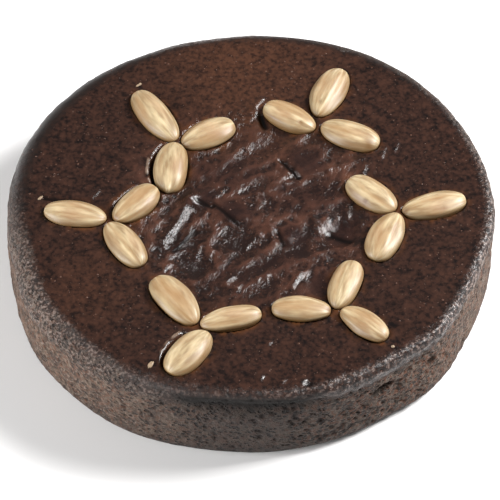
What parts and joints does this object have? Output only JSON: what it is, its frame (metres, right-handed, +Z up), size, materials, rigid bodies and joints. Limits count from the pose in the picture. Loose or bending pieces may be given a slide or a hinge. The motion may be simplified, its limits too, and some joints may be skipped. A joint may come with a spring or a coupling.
{
  "type": "honey cake",
  "caption": "Round dark honey cake with a glazed, wrinkled top, a rounded rim and blanched almonds pressed into it as a ring of flowers.",
  "frame": {"origin": "middle of the cake's flat underside", "axes": "+Z up, out of the glazed top; +X to the right and -Y to the front as the cake lies in the picture"},
  "size_m": [0.1815, 0.1785, 0.0398],
  "materials": {
    "glazed_crust": "dark baked crumb brushed with honey glaze, glossy on top and dull at the side",
    "blanched_almond": "smooth satin skinless almond"
  },
  "bodies": {
    "root": {"cake": "glazed_crust", "almond_back_left_1": "blanched_almond", "almond_back_left_2": "blanched_almond", "almond_back_left_3": "blanched_almond", "almond_left_1": "blanched_almond", "almond_left_2": "blanched_almond", "almond_left_3": "blanched_almond", "almond_front_left_1": "blanched_almond", "almond_front_left_2": "blanched_almond", "almond_front_left_3": "blanched_almond", "almond_front_right_1": "blanched_almond", "almond_front_right_2": "blanched_almond", "almond_front_right_3": "blanched_almond", "almond_right_1": "blanched_almond", "almond_right_2": "blanched_almond", "almond_right_3": "blanched_almond", "almond_back_right_1": "blanched_almond", "almond_back_right_2": "blanched_almond", "almond_back_right_3": "blanched_almond"}
  },
  "joints": []
}
